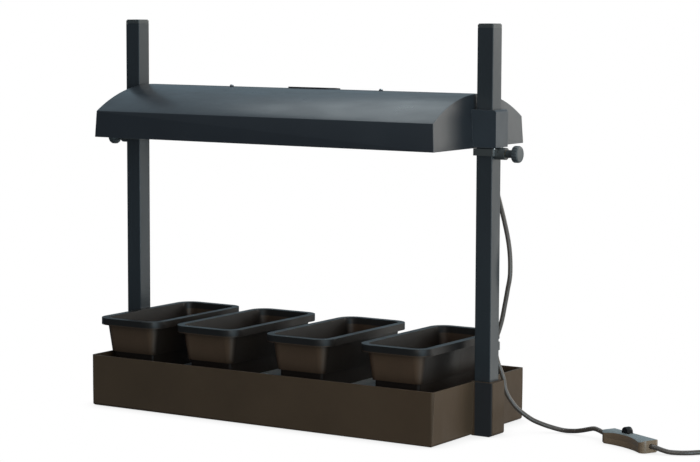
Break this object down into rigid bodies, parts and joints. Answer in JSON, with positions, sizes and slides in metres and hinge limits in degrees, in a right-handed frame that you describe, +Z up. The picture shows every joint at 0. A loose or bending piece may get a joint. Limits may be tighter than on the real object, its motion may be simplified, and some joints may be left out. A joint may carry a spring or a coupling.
{
  "type": "led grow light",
  "caption": "Table-top planting tray with lift-out pots under an arched LED hood that slides up and down two square posts, with thumb-knob clamps and a corded rocker switch.",
  "frame": {"origin": "centre of the tray's underside, on the table", "axes": "+X along the tray towards the end the cable leaves from, -Y towards the front long side, +Z up"},
  "size_m": [0.8324, 0.2547, 0.457],
  "materials": {
    "tray_plastic": "satin moulded",
    "platform_plastic": "satin moulded",
    "mat_felt": "wet felt",
    "pot_plastic": "satin moulded",
    "post_paint": "satin powder coat",
    "black_plastic": "satin",
    "hood_paint": "satin powder coat",
    "pad_plastic": "satin",
    "reflector_sheet": "bright rolled",
    "collar_plastic": "satin",
    "screw_steel": "zinc plated",
    "brass": "turned",
    "tip_nylon": "natural",
    "knob_plastic": "satin",
    "lamp_aluminium": "anodised",
    "diffuser_plastic": "frosted polycarbonate",
    "board_white": "solder mask",
    "led_phosphor": "silicone",
    "board_green": "solder mask",
    "driver_plastic": "component",
    "wire_red": "insulation",
    "spring_steel": "rolled",
    "nut_steel": "blackened",
    "cable_rubber": "smooth sheath",
    "switch_base_plastic": "satin",
    "switch_cover_plastic": "satin",
    "rocker_gloss": "polished",
    "pin_brass": "nickel plated"
  },
  "bodies": {
    "base": {"tray": "tray_plastic", "post_left": "post_paint", "post_right": "post_paint", "post_cap_left": "black_plastic", "post_cap_right": "black_plastic", "cable_clip": "black_plastic", "cable_clip_screw": "screw_steel", "cable_lower": "cable_rubber", "switch_base": "switch_base_plastic", "switch_cover": "switch_cover_plastic", "switch_screws": "screw_steel", "switch_contacts": "brass", "cable_tail": "cable_rubber", "plug_body": "black_plastic", "plug_pins": "pin_brass"},
    "growing_surface": {"platform": "platform_plastic", "mat": "mat_felt"},
    "pot_a": {"pot_1": "pot_plastic"},
    "pot_b": {"pot_2": "pot_plastic"},
    "pot_c": {"pot_3": "pot_plastic"},
    "pot_d": {"pot_4": "pot_plastic"},
    "hood": {"hood_shell": "hood_paint", "hood_pad": "pad_plastic", "reflector": "reflector_sheet", "collar_left": "collar_plastic", "collar_right": "collar_plastic", "collar_screws_left": "screw_steel", "collar_screws_right": "screw_steel", "clamp_left": "black_plastic", "clamp_right": "black_plastic", "clamp_screws_left": "screw_steel", "clamp_screws_right": "screw_steel", "insert_left": "brass", "insert_right": "brass", "lamp_body": "lamp_aluminium", "lamp_cap_left": "black_plastic", "lamp_cap_right": "black_plastic", "diffuser": "diffuser_plastic", "led_board": "board_white", "led_chips": "led_phosphor", "driver_board": "board_green", "driver_parts": "driver_plastic", "lamp_wires": "wire_red", "lamp_clips": "spring_steel", "lamp_screws": "screw_steel", "lamp_nuts": "nut_steel", "cable_gland": "cable_rubber", "cable_upper": "cable_rubber"},
    "tip_l": {"tip_left": "tip_nylon"},
    "tip_r": {"tip_right": "tip_nylon"},
    "thumb_screw_l": {"knob_left": "knob_plastic", "stud_left": "screw_steel"},
    "thumb_screw_r": {"knob_right": "knob_plastic", "stud_right": "screw_steel"},
    "rocker": {"switch_rocker": "rocker_gloss"}
  },
  "joints": [
    {"name": "hood_height", "type": "slide", "parent": "base", "child": "hood", "axis": [0, 0, 1], "range_m": [-0.18, 0.085], "deforming": ["cable_upper"]},
    {"name": "tip_left_travel", "type": "slide", "parent": "hood", "child": "tip_l", "axis": [-1, 0, 0], "range_m": [0, 0.0021]},
    {"name": "knob_left_turn", "type": "hinge", "parent": "tip_l", "child": "thumb_screw_l", "pos_m": [-0.275, 0, 0.3146], "axis": [-1, 0, 0], "range_deg": [0, 720]},
    {"name": "tip_right_travel", "type": "slide", "parent": "hood", "child": "tip_r", "axis": [1, 0, 0], "range_m": [0, 0.0021]},
    {"name": "knob_right_turn", "type": "hinge", "parent": "tip_r", "child": "thumb_screw_r", "pos_m": [0.275, 0, 0.3146], "axis": [1, 0, 0], "range_deg": [0, 720]},
    {"name": "surface_lift", "type": "slide", "parent": "base", "child": "growing_surface", "axis": [0, 0, 1], "range_m": [0, 0.08]},
    {"name": "pot_1_lift", "type": "slide", "parent": "growing_surface", "child": "pot_a", "axis": [0, 0, 1], "range_m": [0, 0.12]},
    {"name": "pot_2_lift", "type": "slide", "parent": "growing_surface", "child": "pot_b", "axis": [0, 0, 1], "range_m": [0, 0.12]},
    {"name": "pot_3_lift", "type": "slide", "parent": "growing_surface", "child": "pot_c", "axis": [0, 0, 1], "range_m": [0, 0.12]},
    {"name": "pot_4_lift", "type": "slide", "parent": "growing_surface", "child": "pot_d", "axis": [0, 0, 1], "range_m": [0, 0.12]},
    {"name": "rocker_tilt", "type": "hinge", "parent": "base", "child": "rocker", "pos_m": [0.40767, 0.02397, 0.0092], "axis": [0.4478, 0.8942, 0], "range_deg": [0, 16]}
  ],
  "couplings": [
    {"joint": "tip_left_travel", "follows": "knob_left_turn", "m_per_rad": 0.00015915},
    {"joint": "tip_right_travel", "follows": "knob_right_turn", "m_per_rad": 0.00015915}
  ]
}
